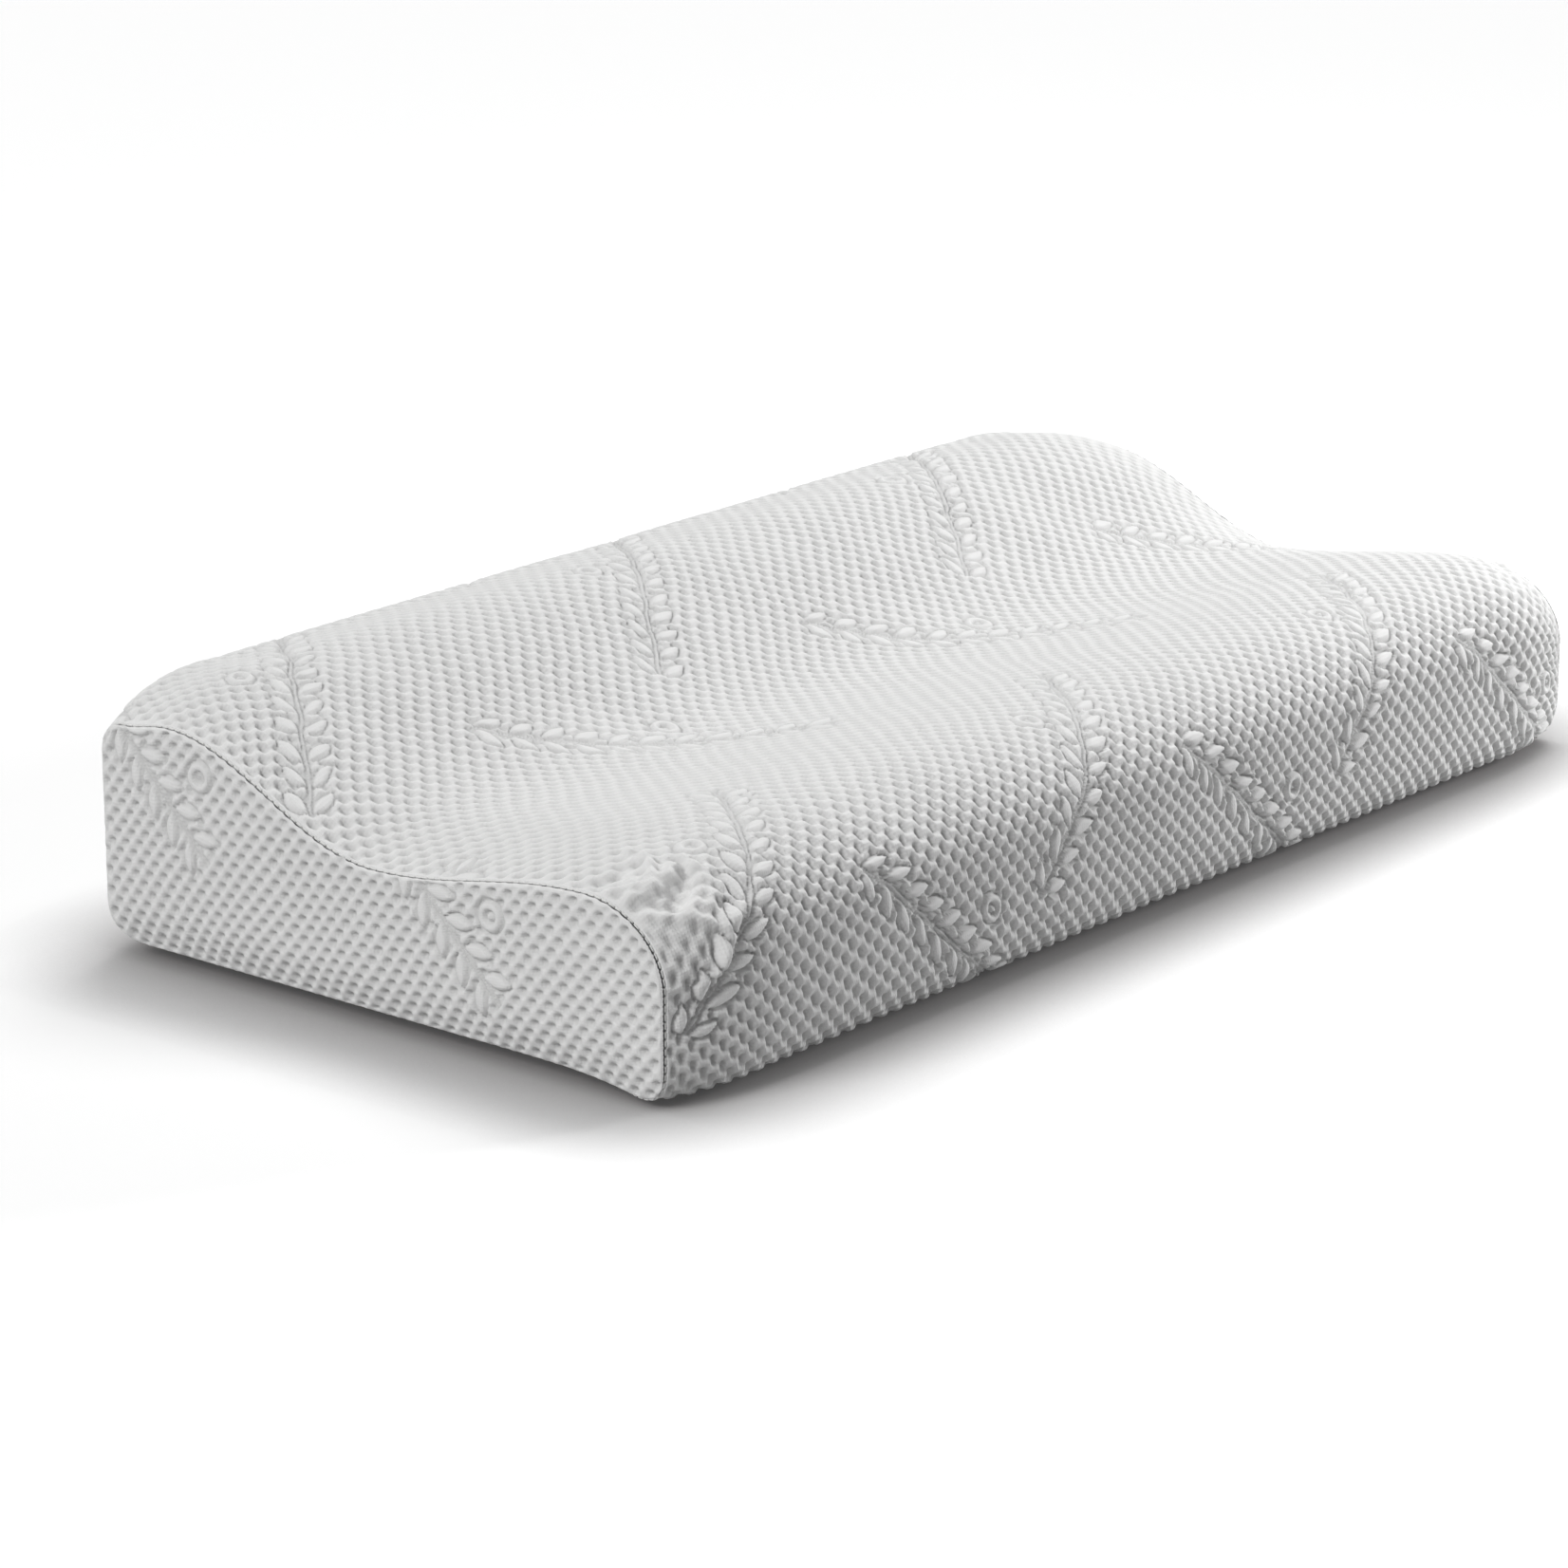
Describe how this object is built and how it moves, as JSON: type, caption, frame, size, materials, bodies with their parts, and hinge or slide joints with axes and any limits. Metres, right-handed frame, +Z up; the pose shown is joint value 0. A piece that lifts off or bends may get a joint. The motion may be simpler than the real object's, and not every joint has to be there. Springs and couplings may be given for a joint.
{
  "type": "contour bed pillow",
  "caption": "Contour foam bed pillow with a high rear lobe, a dip and a low neck lobe, in a zipped textured knit cover with box ends.",
  "frame": {"origin": "middle of the underside, on the surface that the pillow lies on", "axes": "+X along the pillow between its end panels, -Y towards the low neck lobe, +Y towards the high rear lobe, +Z up"},
  "size_m": [0.6, 0.3, 0.107],
  "materials": {
    "memory_foam": "matte open-cell foam",
    "liner_jersey": "fine plain jersey",
    "cover_knit": "quilted double knit with rows of small dimples, off-white",
    "sewing_thread": "twisted polyester thread",
    "zip_tape": "herringbone woven tape",
    "zip_coil": "white nylon coil",
    "zip_stop": "moulded white nylon",
    "zip_metal": "die-cast zinc, painted white",
    "label_satin": "blank woven satin"
  },
  "bodies": {
    "pillow": {"foam_core": "memory_foam", "liner_wrap": "liner_jersey", "liner_end_left": "liner_jersey", "liner_end_right": "liner_jersey", "cover_wrap": "cover_knit", "cover_end_left": "cover_knit", "cover_end_right": "cover_knit", "seam_thread_left": "sewing_thread", "seam_thread_right": "sewing_thread", "zip_stitch_upper": "sewing_thread", "zip_stitch_lower": "sewing_thread", "zip_tape_upper": "zip_tape", "zip_tape_lower": "zip_tape", "zip_coil_upper": "zip_coil", "zip_coil_lower": "zip_coil", "zip_stop_closed": "zip_stop", "zip_stop_open": "zip_stop", "care_label": "label_satin"},
    "zip_slider": {"zip_slider": "zip_metal"},
    "zip_pull": {"zip_pull": "zip_metal"}
  },
  "joints": [
    {"name": "zip_slide", "type": "slide", "parent": "pillow", "child": "zip_slider", "axis": [1, 0, 0], "range_m": [0, 0.44]},
    {"name": "pull_flip", "type": "hinge", "parent": "zip_slider", "child": "zip_pull", "pos_m": [-0.2205, 0.1479, 0.04], "axis": [0, 0, 1], "range_deg": [0, 180]}
  ]
}
